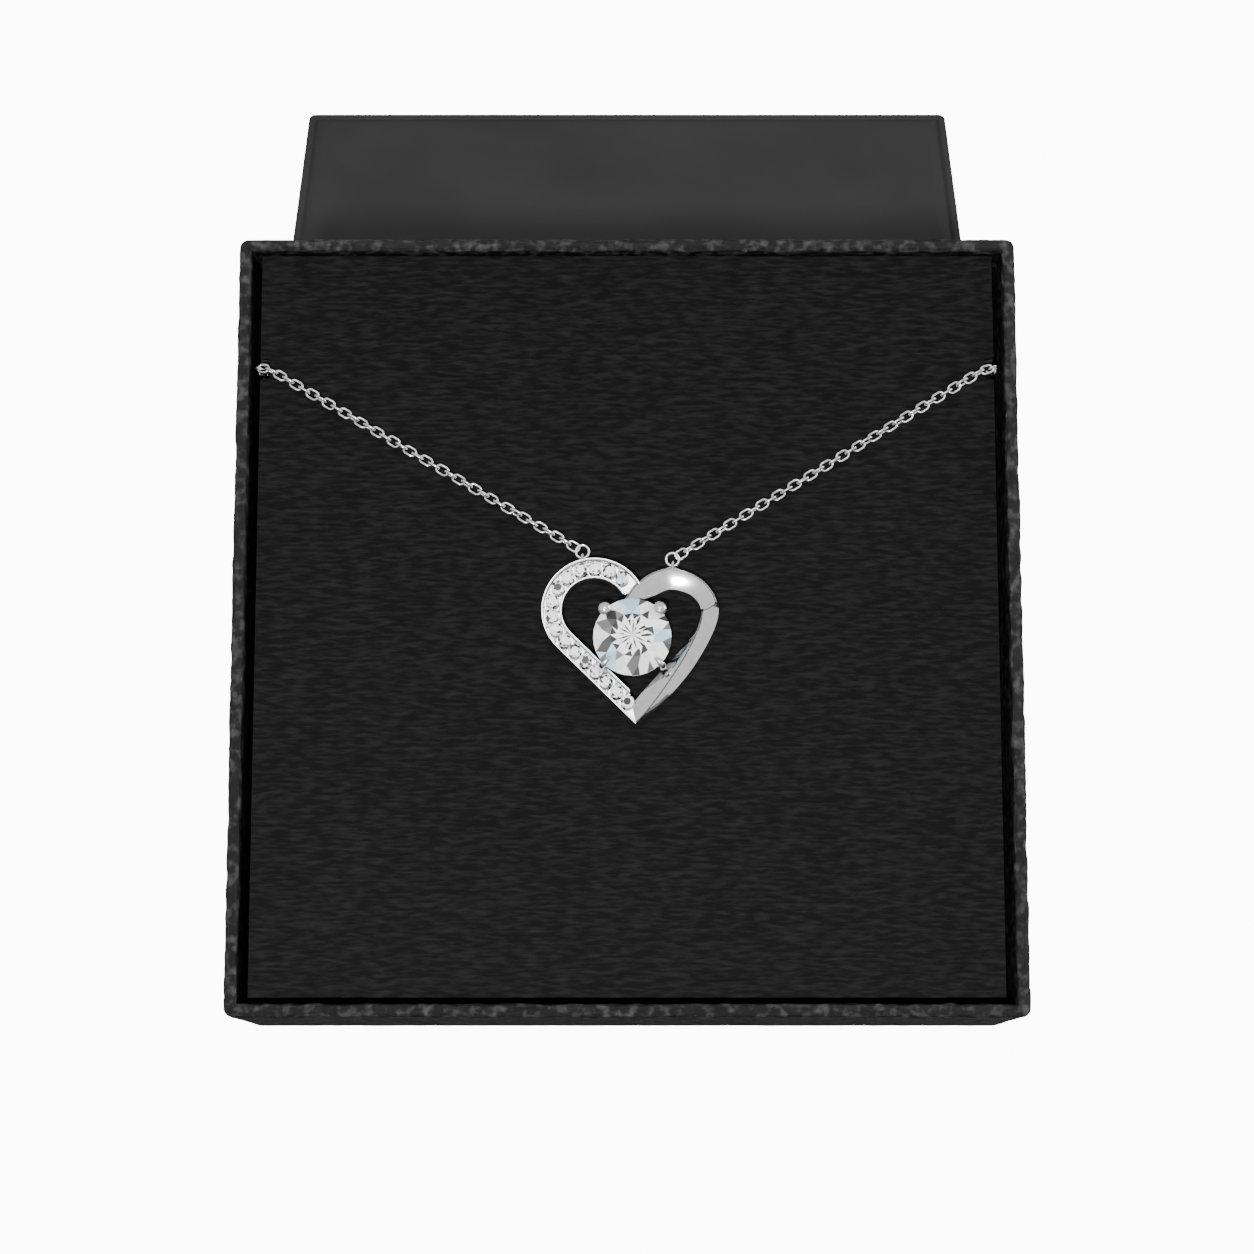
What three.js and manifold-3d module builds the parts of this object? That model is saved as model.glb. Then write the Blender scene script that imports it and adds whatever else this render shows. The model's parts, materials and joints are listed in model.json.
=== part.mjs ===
// A necklace gift box: a tray propped on its own lid, with a heart pendant on a card.
// Millimetres, +Z up. The lid lies flat behind, and the tray leans back on its front edge.
import * as THREE from "three";
import Module from "manifold-3d";
import { mergeVertices } from "three/addons/utils/BufferGeometryUtils.js";

const wasm = await Module();
wasm.setup();

// ---------- driving dimensions ----------
const TRAY_SIZE = 90;
const TRAY_DEPTH = 25;
const TRAY_TILT = THREE.MathUtils.degToRad(33);
const WRAP = 0.2;
const BOARD = 0.85;
const GLUE_GAP = 0.1;
const WALL = WRAP + GLUE_GAP + BOARD + GLUE_GAP + WRAP;
const TURN_IN = 12;
const CORNER_RADIUS = 1.0;
const GAP = 0.3;

const LID_CLEARANCE = 0.25;
const LID_SIZE = TRAY_SIZE + 2 * (LID_CLEARANCE + WALL);
const LID_HEIGHT = 31;

const CARD_WIDTH = 84.8;
const CARD_HEIGHT = 86;
const CARD_THICKNESS = 0.6;
const CARD_BOTTOM = 2.2;
const CARD_RECESS = 0.8;
const CARD_TOP = TRAY_DEPTH - CARD_RECESS;
const CARD_BACK = CARD_TOP - CARD_THICKNESS;

const FOAM_WIDTH = 85.2;
const FOAM_FLOOR = 1.9;
const POCKET_WIDTH = 74;
const POCKET_LOW = 18;
const POCKET_HIGH = 78;
const POCKET_DEPTH = 7;

const CHAIN_RADIUS = 0.55;
const CHAIN_SIDES = 8;
const CHAIN_LIFT = CARD_TOP + 0.75;
const CHAIN_EDGE_Y = 74.6;
const NOTCH_WIDTH = 2.4;
const NOTCH_DEPTH = 1.1;

const BAND_BACK = CARD_TOP + 0.25;
const BAND_THICKNESS = 1.8;
const BAND_FRONT = BAND_BACK + BAND_THICKNESS;
const LOBE = { x: -3.7, y: 45.9, r: 4.87, start: 30, halfWidth: 1.22 };
const HEART_TIP = new THREE.Vector2(0.95, 34.45);
const TIP_CUT = 2.2;
const PAVE_COUNT = 16;
const PAVE_RADIUS = 0.74;
const PAVE_FIRST = 20;
const PAVE_END = 1.3;

const STONE = { x: 0.6, y: 42.6, r: 4.43, girdle: BAND_FRONT + 0.75 };
const LOOP_LEFT = new THREE.Vector3(-5.1, 52.15, CHAIN_LIFT);
const LOOP_RIGHT = new THREE.Vector3(5.2, 51.25, CHAIN_LIFT);
const LOOP_RADIUS = 0.46;
const RING_RADIUS = 0.75;
const RING_WIRE = 0.16;

// The basket: a claw's line gives distance from the stone's axis, and height above the base.
const BASKET_INNER = 2.9;
const BASKET_OUTER = 3.7;
const BASKET_HEIGHT = 0.7;
const CLAW_LINE = [[3.3, 0.35], [3.8, 1.8], [4.68, 2.55], [4.55, 3.2]];
const CLAW_HEAD = [4.5, 3.25];
const CLAW_RADIUS = 0.4;
const CLAW_BEAD = 0.72;

// The chain lies in the pocket in upright runs.
const POCKET_RUNS = 4;
const RUN_FIRST = 32;
const RUN_PITCH = 7;
const RUN_LOW = 42;
const RUN_HIGH = 64;

const CLASP = new THREE.Vector3(-1, 27, CARD_BACK - 4.2);
const CLASP_THICKNESS = 2;
const CLASP_SLOT = 1;
const CLASP_PIVOT = new THREE.Vector2(-2.4, 0.2);
const CLASP_BORE = 0.45;
const CLASP_PIN = 0.32;
const CLASP_SPRING = 0.12;
const TAIL_RING = { x: -5.75, y: -0.1, r: 1.4 };
const END_RING = { x: 4.9, y: -1.08, r: 1.75 };
const CLASP_RING_WIRE = 0.2;

// The tray's lowest edge and the lid's front edge, measured along Y.
const LID_FRONT = LID_HEIGHT / Math.tan(TRAY_TILT) + 0.45;
const FRONT_REACH = TRAY_DEPTH * Math.sin(TRAY_TILT);
const CENTRE_Y = (LID_FRONT + LID_SIZE - FRONT_REACH) / 2;

// ---------- materials ----------
function material(color, roughness, metalness) {
  return new THREE.MeshStandardMaterial({ color, roughness, metalness });
}
const leatherette = material(0x2a2a2b, 0.55, 0);
const greyPaper = material(0x3a3a3b, 0.8, 0);
const blackPaper = material(0x161616, 0.85, 0);
const board = material(0x6b6660, 0.9, 0);
const foam = material(0x101010, 0.95, 0);
const silver = material(0xd8d8da, 0.15, 1);
const crystal = material(0xf2f6fa, 0.02, 0);

// ---------- solids ----------
function solid(geometry) {
  const bare = geometry.index ? geometry.toNonIndexed() : geometry.clone();
  bare.deleteAttribute("normal");
  bare.deleteAttribute("uv");
  const merged = mergeVertices(bare, 1e-4);
  const mesh = new wasm.Mesh({
    numProp: 3,
    vertProperties: Float32Array.from(merged.attributes.position.array),
    triVerts: Uint32Array.from(merged.index.array),
  });
  return new wasm.Manifold(mesh);
}

function geometryOf(body) {
  const mesh = body.getMesh();
  const geometry = new THREE.BufferGeometry();
  geometry.setAttribute("position", new THREE.BufferAttribute(mesh.vertProperties, 3));
  geometry.setIndex(new THREE.BufferAttribute(mesh.triVerts, 1));
  return geometry;
}

function node(group, name, shape, look) {
  const geometry = shape.isBufferGeometry ? shape : geometryOf(shape);
  const mesh = new THREE.Mesh(geometry, look);
  mesh.name = name;
  group.add(mesh);
  return mesh;
}

function slab(shape, low, high, curveSegments = 4) {
  const geometry = new THREE.ExtrudeGeometry(shape, {
    depth: high - low,
    bevelEnabled: false,
    curveSegments,
  });
  return geometry.translate(0, 0, low);
}

// A block with rounded upright corners, centred on x = 0 and on cy.
function block(width, height, cy, low, high, radius) {
  const w = width / 2;
  const h = height / 2;
  const shape = new THREE.Shape();
  if (radius <= 0) {
    shape.moveTo(-w, cy - h).lineTo(w, cy - h).lineTo(w, cy + h).lineTo(-w, cy + h);
    return solid(slab(shape, low, high));
  }
  shape.moveTo(-w + radius, cy - h);
  shape.lineTo(w - radius, cy - h);
  shape.absarc(w - radius, cy - h + radius, radius, -Math.PI / 2, 0);
  shape.lineTo(w, cy + h - radius);
  shape.absarc(w - radius, cy + h - radius, radius, 0, Math.PI / 2);
  shape.lineTo(-w + radius, cy + h);
  shape.absarc(-w + radius, cy + h - radius, radius, Math.PI / 2, Math.PI);
  shape.lineTo(-w, cy - h + radius);
  shape.absarc(-w + radius, cy - h + radius, radius, Math.PI, Math.PI * 1.5);
  return solid(slab(shape, low, high, 3));
}

function boxAt(x0, x1, y0, y1, z0, z1) {
  const box = new THREE.BoxGeometry(x1 - x0, y1 - y0, z1 - z0);
  return solid(box.translate((x0 + x1) / 2, (y0 + y1) / 2, (z0 + z1) / 2));
}

function tube(curve, radius, sides, steps) {
  const section = new THREE.Shape();
  for (let i = 0; i < sides; i += 1) {
    const a = (2 * Math.PI * i) / sides;
    const x = radius * Math.cos(a);
    const y = radius * Math.sin(a);
    if (i === 0) section.moveTo(x, y);
    else section.lineTo(x, y);
  }
  return new THREE.ExtrudeGeometry(section, { steps, extrudePath: curve, bevelEnabled: false });
}

function ring(major, minor, axis, centre) {
  const geometry = new THREE.TorusGeometry(major, minor, 6, 16);
  const turn = new THREE.Quaternion().setFromUnitVectors(new THREE.Vector3(0, 0, 1), axis);
  geometry.applyQuaternion(turn);
  return geometry.translate(centre.x, centre.y, centre.z);
}

// ---------- rigid box shells: a board, and a wrap that turns in over its rim ----------
// The floor of the shell is at z = 0 and its mouth at z = depth.
function shellBoard(size, depth, cy) {
  const skin = WRAP + GLUE_GAP;
  const outer = block(size - 2 * skin, size - 2 * skin, cy, skin, depth - skin, CORNER_RADIUS - skin);
  const room = size - 2 * (skin + BOARD);
  const inner = block(room, room, cy, skin + BOARD, depth + 1, 0);
  return outer.subtract(inner);
}

function shellWrap(size, depth, cy, panel) {
  const skin = WRAP;
  const boardRoom = size - 2 * skin;
  const boardInside = size - 2 * (WRAP + 2 * GLUE_GAP + BOARD);
  const mouth = size - 2 * WALL;
  const foldLow = depth - TURN_IN;
  const outer = block(size, size, cy, 0, depth, CORNER_RADIUS);
  const boardSpace = block(boardRoom, boardRoom, cy, skin, depth - skin, CORNER_RADIUS - skin);
  const fold = block(boardInside, boardInside, cy, foldLow, depth + 1, 0);
  const mouthSpace = block(mouth, mouth, cy, foldLow - 1, depth + 2, 0);
  let wrap = outer.subtract(boardSpace).subtract(mouthSpace);
  const aboveRim = block(size, size, cy, depth - skin / 2, depth + 3, 0);
  wrap = wrap.add(fold.subtract(mouthSpace).subtract(aboveRim));
  if (panel > 0) wrap = wrap.subtract(block(panel, panel, cy, -1, skin + 1, 0));
  return wrap;
}

function addTray(group) {
  const cy = TRAY_SIZE / 2;
  const panel = TRAY_SIZE - 28;
  const linerSize = TRAY_SIZE - 2 * WALL - 1;
  const linerLow = WRAP + GLUE_GAP + BOARD + GLUE_GAP;
  node(group, "tray_board", shellBoard(TRAY_SIZE, TRAY_DEPTH, cy), board);
  node(group, "tray_wrap", shellWrap(TRAY_SIZE, TRAY_DEPTH, cy, panel), leatherette);
  node(group, "tray_base_paper", block(panel - 0.6, panel - 0.6, cy, 0, WRAP, 0), blackPaper);
  node(group, "tray_liner", block(linerSize, linerSize, cy, linerLow, linerLow + 0.3, 0), blackPaper);
}

function addLid(group) {
  const lid = new THREE.Group();
  lid.rotation.x = Math.PI;
  lid.position.set(0, LID_FRONT + LID_SIZE, LID_HEIGHT);
  group.add(lid);
  const cy = LID_SIZE / 2;
  const linerSize = LID_SIZE - 2 * WALL - 1;
  const linerLow = WRAP + GLUE_GAP + BOARD + GLUE_GAP;
  node(lid, "lid_board", shellBoard(LID_SIZE, LID_HEIGHT, cy), board);
  node(lid, "lid_wrap", shellWrap(LID_SIZE, LID_HEIGHT, cy, 0), greyPaper);
  node(lid, "lid_liner", block(linerSize, linerSize, cy, linerLow, linerLow + 0.3, 0), blackPaper);
}

// ---------- the insert: a foam pad with a pocket for the chain, and the card on it ----------
function addFoam(group) {
  const top = CARD_BACK - GAP;
  const cy = TRAY_SIZE / 2;
  const pad = block(FOAM_WIDTH, FOAM_WIDTH, cy, FOAM_FLOOR, top, CORNER_RADIUS);
  const half = POCKET_WIDTH / 2;
  const pocket = boxAt(-half, half, POCKET_LOW, POCKET_HIGH, top - POCKET_DEPTH, top + 1);
  const channelLow = CHAIN_EDGE_Y - 1.4;
  const channelHigh = CHAIN_EDGE_Y + 1.4;
  const reach = FOAM_WIDTH / 2 + 1;
  const channel = boxAt(-reach, reach, channelLow, channelHigh, top - 2.4, top + 1);
  node(group, "foam_pad", pad.subtract(pocket).subtract(channel), foam);
}

function addCard(group) {
  const cy = CARD_BOTTOM + CARD_HEIGHT / 2;
  let card = block(CARD_WIDTH, CARD_HEIGHT, cy, CARD_BACK, CARD_TOP, 0);
  for (const side of [-1, 1]) {
    const floor = CARD_WIDTH / 2 - NOTCH_DEPTH;
    const x0 = side < 0 ? -floor - 5 : floor;
    const low = CHAIN_EDGE_Y - NOTCH_WIDTH / 2;
    card = card.subtract(boxAt(x0, x0 + 5, low, low + NOTCH_WIDTH, CARD_BACK - 1, CARD_TOP + 1));
  }
  node(group, "insert_card", card, blackPaper);
}

// ---------- the pendant's two halves ----------
function lobePoint(angle, radius) {
  return new THREE.Vector2(LOBE.x + radius * Math.cos(angle), LOBE.y + radius * Math.sin(angle));
}

// The angle at which the line from the tip touches the lobe.
function lobeTouchAngle() {
  const dx = HEART_TIP.x - LOBE.x;
  const dy = HEART_TIP.y - LOBE.y;
  const reach = Math.hypot(dx, dy);
  return 2 * Math.PI + Math.atan2(dy, dx) - Math.acos(LOBE.r / reach);
}

// The pave half's outline: a round lobe, then a straight run down to the tip.
function paveShape(extra) {
  const half = LOBE.halfWidth + extra;
  const start = THREE.MathUtils.degToRad(LOBE.start);
  const end = lobeTouchAngle();
  const run = new THREE.Vector2().subVectors(HEART_TIP, lobePoint(end, LOBE.r)).normalize();
  const side = new THREE.Vector2(run.y, -run.x);
  const outerEnd = HEART_TIP.clone().addScaledVector(side, half).addScaledVector(run, PAVE_END + extra);
  const innerEnd = HEART_TIP.clone().addScaledVector(side, -half).addScaledVector(run, -TIP_CUT + extra);
  const shape = new THREE.Shape();
  shape.absarc(LOBE.x, LOBE.y, LOBE.r + half, start, end);
  shape.lineTo(outerEnd.x, outerEnd.y);
  shape.lineTo(innerEnd.x, innerEnd.y);
  shape.absarc(LOBE.x, LOBE.y, LOBE.r - half, end, start, true);
  return shape;
}

// The polished half: a ribbon along a curve, widest where it crosses over and near its foot.
function ribbonShape(extra) {
  const line = new THREE.SplineCurve([
    new THREE.Vector2(0.2, 46.8),
    new THREE.Vector2(1.9, 48.4),
    new THREE.Vector2(4.9, 49.65),
    new THREE.Vector2(8.2, 48.4),
    new THREE.Vector2(9.35, 45.4),
    new THREE.Vector2(6.75, 40.4),
    new THREE.Vector2(1.5, 34.5),
  ]);
  const steps = 30;
  const left = [];
  const right = [];
  for (let i = 0; i <= steps; i += 1) {
    const t = i / steps;
    const p = line.getPointAt(t);
    const d = line.getTangentAt(t);
    const swell = 1.2 + 0.15 * Math.cos((2 * Math.PI * (t - 0.13)) / 0.65);
    const half = swell * Math.min(1, 0.55 + 4 * t, 0.65 + 3 * (1 - t)) + extra;
    left.push(new THREE.Vector2(p.x - d.y * half, p.y + d.x * half));
    right.push(new THREE.Vector2(p.x + d.y * half, p.y - d.x * half));
  }
  return new THREE.Shape(left.concat(right.reverse()));
}

// Places along the pave half's middle line, a fixed pitch apart.
function pavePlaces() {
  const start = THREE.MathUtils.degToRad(LOBE.start + PAVE_FIRST);
  const end = lobeTouchAngle();
  const touch = lobePoint(end, LOBE.r);
  const arc = (end - start) * LOBE.r;
  const run = touch.distanceTo(HEART_TIP) - PAVE_END;
  const places = [];
  for (let i = 0; i < PAVE_COUNT; i += 1) {
    const s = ((arc + run) * i) / (PAVE_COUNT - 1);
    const straight = (s - arc) / touch.distanceTo(HEART_TIP);
    if (s <= arc) places.push(lobePoint(start + s / LOBE.r, LOBE.r));
    else places.push(touch.clone().lerp(HEART_TIP, straight));
  }
  return places;
}

function hangingLoop(centre) {
  const axis = new THREE.Vector3().subVectors(LOOP_RIGHT, LOOP_LEFT).normalize();
  return solid(ring(LOOP_RADIUS, RING_WIRE, axis, centre));
}

function addPaveBand(group) {
  const over = solid(slab(ribbonShape(GAP), BAND_BACK - 1, BAND_FRONT + 1));
  const upper = boxAt(-20, 20, 44, 60, 0, 60);
  let band = solid(slab(paveShape(0), BAND_BACK, BAND_FRONT, 20)).subtract(over.intersect(upper));
  for (const place of pavePlaces()) {
    const seat = new THREE.CylinderGeometry(PAVE_RADIUS + 0.12, PAVE_RADIUS + 0.12, 2, 8);
    seat.rotateX(Math.PI / 2).translate(place.x, place.y, BAND_FRONT + 0.35);
    band = band.subtract(solid(seat));
  }
  node(group, "pave_band", band.add(hangingLoop(LOOP_LEFT)), silver);
}

function addPolishedBand(group) {
  const under = solid(slab(paveShape(GAP), BAND_BACK - 1, BAND_FRONT + 1, 20));
  const lower = boxAt(-20, 20, 20, 44, 0, 60);
  const band = solid(slab(ribbonShape(0), BAND_BACK, BAND_FRONT)).subtract(under.intersect(lower));
  node(group, "polished_band", band.add(hangingLoop(LOOP_RIGHT)), silver);
}

// A cut stone: table, crown, girdle, pavilion and culet.
function cutStone(radius, grow, sides) {
  const r = radius + grow;
  const profile = [
    new THREE.Vector2(0, -0.5 * radius - grow),
    new THREE.Vector2(r, -0.03 * radius - grow / 2),
    new THREE.Vector2(r, 0.03 * radius + grow / 2),
    new THREE.Vector2(0.6 * r, 0.32 * radius + grow),
    new THREE.Vector2(0, 0.32 * radius + grow),
  ];
  return new THREE.LatheGeometry(profile, sides).rotateX(Math.PI / 2);
}

function addPaveStones(group) {
  pavePlaces().forEach((place, i) => {
    const name = `pave_stone_${String(i + 1).padStart(2, "0")}`;
    const stone = node(group, name, cutStone(PAVE_RADIUS, 0, 8), crystal);
    stone.position.set(place.x, place.y, BAND_FRONT - 0.05);
  });
}

function addCentreStone(group) {
  const stone = node(group, "centre_stone", cutStone(STONE.r, 0, 16), crystal);
  stone.position.set(STONE.x, STONE.y, STONE.girdle);
}

// The basket: a base ring and four claws that grip the stone's girdle.
function addBasket(group) {
  const baseLow = BAND_BACK;
  const middle = (BASKET_INNER + BASKET_OUTER) / 2;
  const baseProfile = [
    new THREE.Vector2(BASKET_INNER, 0),
    new THREE.Vector2(BASKET_OUTER, 0),
    new THREE.Vector2(BASKET_OUTER, BASKET_HEIGHT),
    new THREE.Vector2(middle, BASKET_HEIGHT),
    new THREE.Vector2(BASKET_INNER, 0),
  ];
  const base = new THREE.LatheGeometry(baseProfile, 16).rotateX(Math.PI / 2);
  let basket = solid(base.translate(STONE.x, STONE.y, baseLow));
  for (let i = 0; i < 4; i += 1) {
    const angle = Math.PI * (0.25 + 0.5 * i);
    const at = ([r, z]) => new THREE.Vector3(r * Math.cos(angle), r * Math.sin(angle), z);
    const claw = solid(tube(new THREE.CatmullRomCurve3(CLAW_LINE.map(at)), CLAW_RADIUS, 8, 5));
    const head = at(CLAW_HEAD);
    const bead = solid(new THREE.SphereGeometry(CLAW_BEAD, 8, 6).translate(head.x, head.y, head.z));
    const place = new THREE.Matrix4().makeTranslation(STONE.x, STONE.y, baseLow);
    const both = geometryOf(claw.add(bead)).applyMatrix4(place);
    basket = basket.add(solid(both));
  }
  const seat = cutStone(STONE.r, 0.12, 16).translate(STONE.x, STONE.y, STONE.girdle);
  const ribbon = slab(ribbonShape(GAP / 2), BAND_BACK - 1, BAND_FRONT + GAP / 2);
  node(group, "stone_basket", basket.subtract(solid(seat)).subtract(solid(ribbon)), silver);
}

// ---------- the chain: over the card, round its edges, and into the pocket ----------
function addJumpRings(group) {
  const up = new THREE.Vector3(0, 0, 1);
  const left = LOOP_LEFT.clone().add(new THREE.Vector3(0, RING_RADIUS, 0));
  const right = LOOP_RIGHT.clone().add(new THREE.Vector3(0, RING_RADIUS, 0));
  node(group, "jump_ring_left", ring(RING_RADIUS, RING_WIRE, up, left), silver);
  node(group, "jump_ring_right", ring(RING_RADIUS, RING_WIRE, up, right), silver);
}

function chainFront(side) {
  const loop = side < 0 ? LOOP_LEFT : LOOP_RIGHT;
  const ringCentre = new THREE.Vector3(loop.x, loop.y + RING_RADIUS, CHAIN_LIFT);
  const edge = new THREE.Vector3(side * 40.6, CHAIN_EDGE_Y - 0.6, CHAIN_LIFT);
  const along = new THREE.Vector3().subVectors(edge, ringCentre).normalize();
  const start = ringCentre.addScaledVector(along, RING_RADIUS + RING_WIRE + 0.2);
  return new THREE.LineCurve3(start, edge);
}

// The chain turns down through the notch and back under the card.
function chainTurn(side) {
  const y = CHAIN_EDGE_Y;
  const back = CARD_BACK - 1.1;
  return new THREE.CatmullRomCurve3([
    new THREE.Vector3(side * 40.95, y - 0.4, CHAIN_LIFT),
    new THREE.Vector3(side * 41.9, y - 0.1, CHAIN_LIFT - 0.1),
    new THREE.Vector3(side * 42.45, y, CARD_TOP - 0.2),
    new THREE.Vector3(side * 42.1, y, CARD_BACK - 0.75),
    new THREE.Vector3(side * 41.0, y, back),
    new THREE.Vector3(side * 36.5, y, back - 0.2),
  ]);
}

// The hidden length lies in long bends on the pocket's floor, and ends at the clasp.
function chainBack(side) {
  const rest = CARD_BACK - GAP - POCKET_DEPTH + CHAIN_RADIUS + 0.6;
  const points = [
    new THREE.Vector3(side * 36.1, CHAIN_EDGE_Y, CARD_BACK - 1.35),
    new THREE.Vector3(side * 34.3, CHAIN_EDGE_Y - 0.6, CARD_BACK - 2.2),
    new THREE.Vector3(side * 33, CHAIN_EDGE_Y - 2.6, CARD_BACK - 4.4),
  ];
  const downwards = [RUN_HIGH, (RUN_HIGH + RUN_LOW) / 2, RUN_LOW];
  const upwards = downwards.slice().reverse();
  for (let i = 0; i < POCKET_RUNS; i += 1) {
    const x = side * (RUN_FIRST - RUN_PITCH * i);
    const ends = i % 2 === 0 ? downwards : upwards;
    ends.forEach((y) => points.push(new THREE.Vector3(x, y, rest)));
  }
  points.push(new THREE.Vector3(side * 5, 50, rest));
  points.push(new THREE.Vector3(side * 7, 36, rest));
  points.push(new THREE.Vector3(side * 10.5, 29, rest + 0.8));
  points.push(new THREE.Vector3(CLASP.x + side * 8.6, CLASP.y - (side > 0 ? 1.5 : 0), CLASP.z));
  return new THREE.CatmullRomCurve3(points);
}

function addChain(group) {
  for (const [label, side] of [["left", -1], ["right", 1]]) {
    node(group, `chain_${label}_front`, tube(chainFront(side), CHAIN_RADIUS, CHAIN_SIDES, 1), silver);
    node(group, `chain_${label}_turn`, tube(chainTurn(side), CHAIN_RADIUS, CHAIN_SIDES, 12), silver);
    node(group, `chain_${label}_back`, tube(chainBack(side), CHAIN_RADIUS, CHAIN_SIDES, 70), silver);
  }
}

// ---------- the lobster clasp ----------
function claspOutline() {
  const shape = new THREE.Shape();
  shape.moveTo(-5, -1.1);
  shape.lineTo(-1.5, -2.9);
  shape.bezierCurveTo(3.5, -4.3, 6.2, -1.6, 4.8, 1.2);
  shape.lineTo(3.9, 1.1);
  shape.bezierCurveTo(4.6, -1.4, 2.4, -2.9, -0.6, -1.7);
  shape.lineTo(-1.1, 1.3);
  shape.lineTo(-3.6, 1.6);
  shape.lineTo(-5, 0.9);
  return shape;
}

function leverOutline() {
  const p = CLASP_PIVOT;
  const shape = new THREE.Shape();
  shape.absarc(p.x, p.y, 0.8, Math.PI * 0.75, Math.PI * 1.9);
  shape.lineTo(3.5, 0.35);
  shape.lineTo(3.55, 1.0);
  shape.lineTo(0.2, 1.2);
  shape.lineTo(-0.7, 2.5);
  shape.lineTo(-1.7, 2.5);
  shape.lineTo(-1.9, 1.2);
  return shape;
}

function placed(body, at) {
  return geometryOf(body).translate(at.x, at.y, at.z);
}

function pinSolid(radius, length) {
  const pin = new THREE.CylinderGeometry(radius, radius, length, 10).rotateX(Math.PI / 2);
  return solid(pin.translate(CLASP_PIVOT.x, CLASP_PIVOT.y, 0));
}

function addClasp(group) {
  const half = CLASP_THICKNESS / 2;
  const slotHalf = CLASP_SLOT / 2;
  const slot = boxAt(-4, 3.4, -1.2, 3, -slotHalf, slotHalf);
  let body = solid(slab(claspOutline(), -half, half, 8)).subtract(slot).subtract(pinSolid(CLASP_BORE, 4));
  const eye = new THREE.CylinderGeometry(0.42, 0.42, 4, 8).rotateX(Math.PI / 2).translate(-4.4, -0.1, 0);
  body = body.subtract(solid(eye));
  // The tail is thinned from both faces, so that the ring can turn on it.
  for (const [low, high] of [[0.4, 2], [-2, -0.4]]) {
    body = body.subtract(boxAt(-6, -3.7, -2, 3, low, high));
  }
  const leverHalf = slotHalf - 0.2;
  const lever = solid(slab(leverOutline(), -leverHalf, leverHalf, 8));
  const spring = new THREE.LineCurve3(new THREE.Vector3(-3.7, -0.9, 0), new THREE.Vector3(-2.9, -0.95, 0));
  node(group, "clasp_body", placed(body, CLASP), silver);
  node(group, "clasp_lever", placed(lever.subtract(pinSolid(CLASP_BORE, 4)), CLASP), silver);
  node(group, "clasp_pin", placed(pinSolid(CLASP_PIN, CLASP_THICKNESS - 0.1), CLASP), silver);
  node(group, "clasp_spring", placed(solid(tube(spring, CLASP_SPRING, 8, 1)), CLASP), silver);
  addClaspRing(group, "clasp_tail_ring", TAIL_RING);
  addClaspRing(group, "clasp_end_ring", END_RING);
}

function addClaspRing(group, name, at) {
  const across = new THREE.Vector3(0, 1, 0);
  const centre = new THREE.Vector3(CLASP.x + at.x, CLASP.y + at.y, CLASP.z);
  node(group, name, ring(at.r, CLASP_RING_WIRE, across, centre), silver);
}

// ---------- assembly ----------
const giftBox = new THREE.Group();
giftBox.position.y = -CENTRE_Y;
addLid(giftBox);

const tray = new THREE.Group();
tray.rotation.x = TRAY_TILT;
giftBox.add(tray);
addTray(tray);
addFoam(tray);
addCard(tray);
addChain(tray);
addJumpRings(tray);
addClasp(tray);
addPaveBand(tray);
addPolishedBand(tray);
addPaveStones(tray);
addBasket(tray);
addCentreStone(tray);

export default giftBox;
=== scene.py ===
import json
import math

import bmesh
import bpy
import numpy as np
from mathutils import Matrix, Vector


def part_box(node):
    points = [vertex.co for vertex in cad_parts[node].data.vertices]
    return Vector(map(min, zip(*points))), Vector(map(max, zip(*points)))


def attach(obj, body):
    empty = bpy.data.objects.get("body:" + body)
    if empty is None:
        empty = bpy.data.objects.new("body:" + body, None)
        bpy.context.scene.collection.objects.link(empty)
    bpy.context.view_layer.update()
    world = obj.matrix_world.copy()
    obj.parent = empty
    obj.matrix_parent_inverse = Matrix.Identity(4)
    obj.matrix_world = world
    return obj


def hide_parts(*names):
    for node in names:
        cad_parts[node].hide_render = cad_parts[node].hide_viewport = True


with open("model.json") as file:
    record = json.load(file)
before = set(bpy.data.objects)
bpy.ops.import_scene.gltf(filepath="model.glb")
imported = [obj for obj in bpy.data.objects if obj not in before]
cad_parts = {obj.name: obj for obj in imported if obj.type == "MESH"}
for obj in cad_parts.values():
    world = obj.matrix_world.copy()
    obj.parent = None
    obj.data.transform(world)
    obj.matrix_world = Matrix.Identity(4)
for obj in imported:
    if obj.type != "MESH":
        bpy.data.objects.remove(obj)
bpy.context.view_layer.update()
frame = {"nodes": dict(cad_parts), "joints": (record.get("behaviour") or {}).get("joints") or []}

MM = 0.001

# ---------- driving dimensions, in millimetres ----------
TRAY_SIZE = 90
TRAY_DEPTH = 25
WRAP = 0.2
WALL = 1.45
TURN_IN = 12
CORNER_RADIUS = 1.0
LID_SIZE = 93.4
LID_HEIGHT = 31

CARD_WIDTH = 84.8
CARD_HEIGHT = 86
CARD_THICKNESS = 0.6
CARD_BOTTOM = 2.2
CARD_TOP = 24.2
CARD_BACK = CARD_TOP - CARD_THICKNESS
NOTCH_WIDTH = 2.4
NOTCH_DEPTH = 1.1

FOAM_WIDTH = 85.2
FOAM_FLOOR = 1.9
FOAM_TOP = CARD_BACK - 0.3
POCKET = (37, 18, 78, 7)
CHANNEL_HALF = 1.4
CHANNEL_DEPTH = 2.4
POCKET_RUNS = 4
RUN_FIRST = 32
RUN_PITCH = 7
RUN_LOW = 42
RUN_HIGH = 64

CHAIN_LIFT = CARD_TOP + 0.75
CHAIN_EDGE_X = 40.6
CHAIN_EDGE_Y = 74.6
LINK_LENGTH = 1.82
LINK_WIDTH = 1.3
LINK_WIRE = 0.16
LINK_PITCH = 1.09

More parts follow.
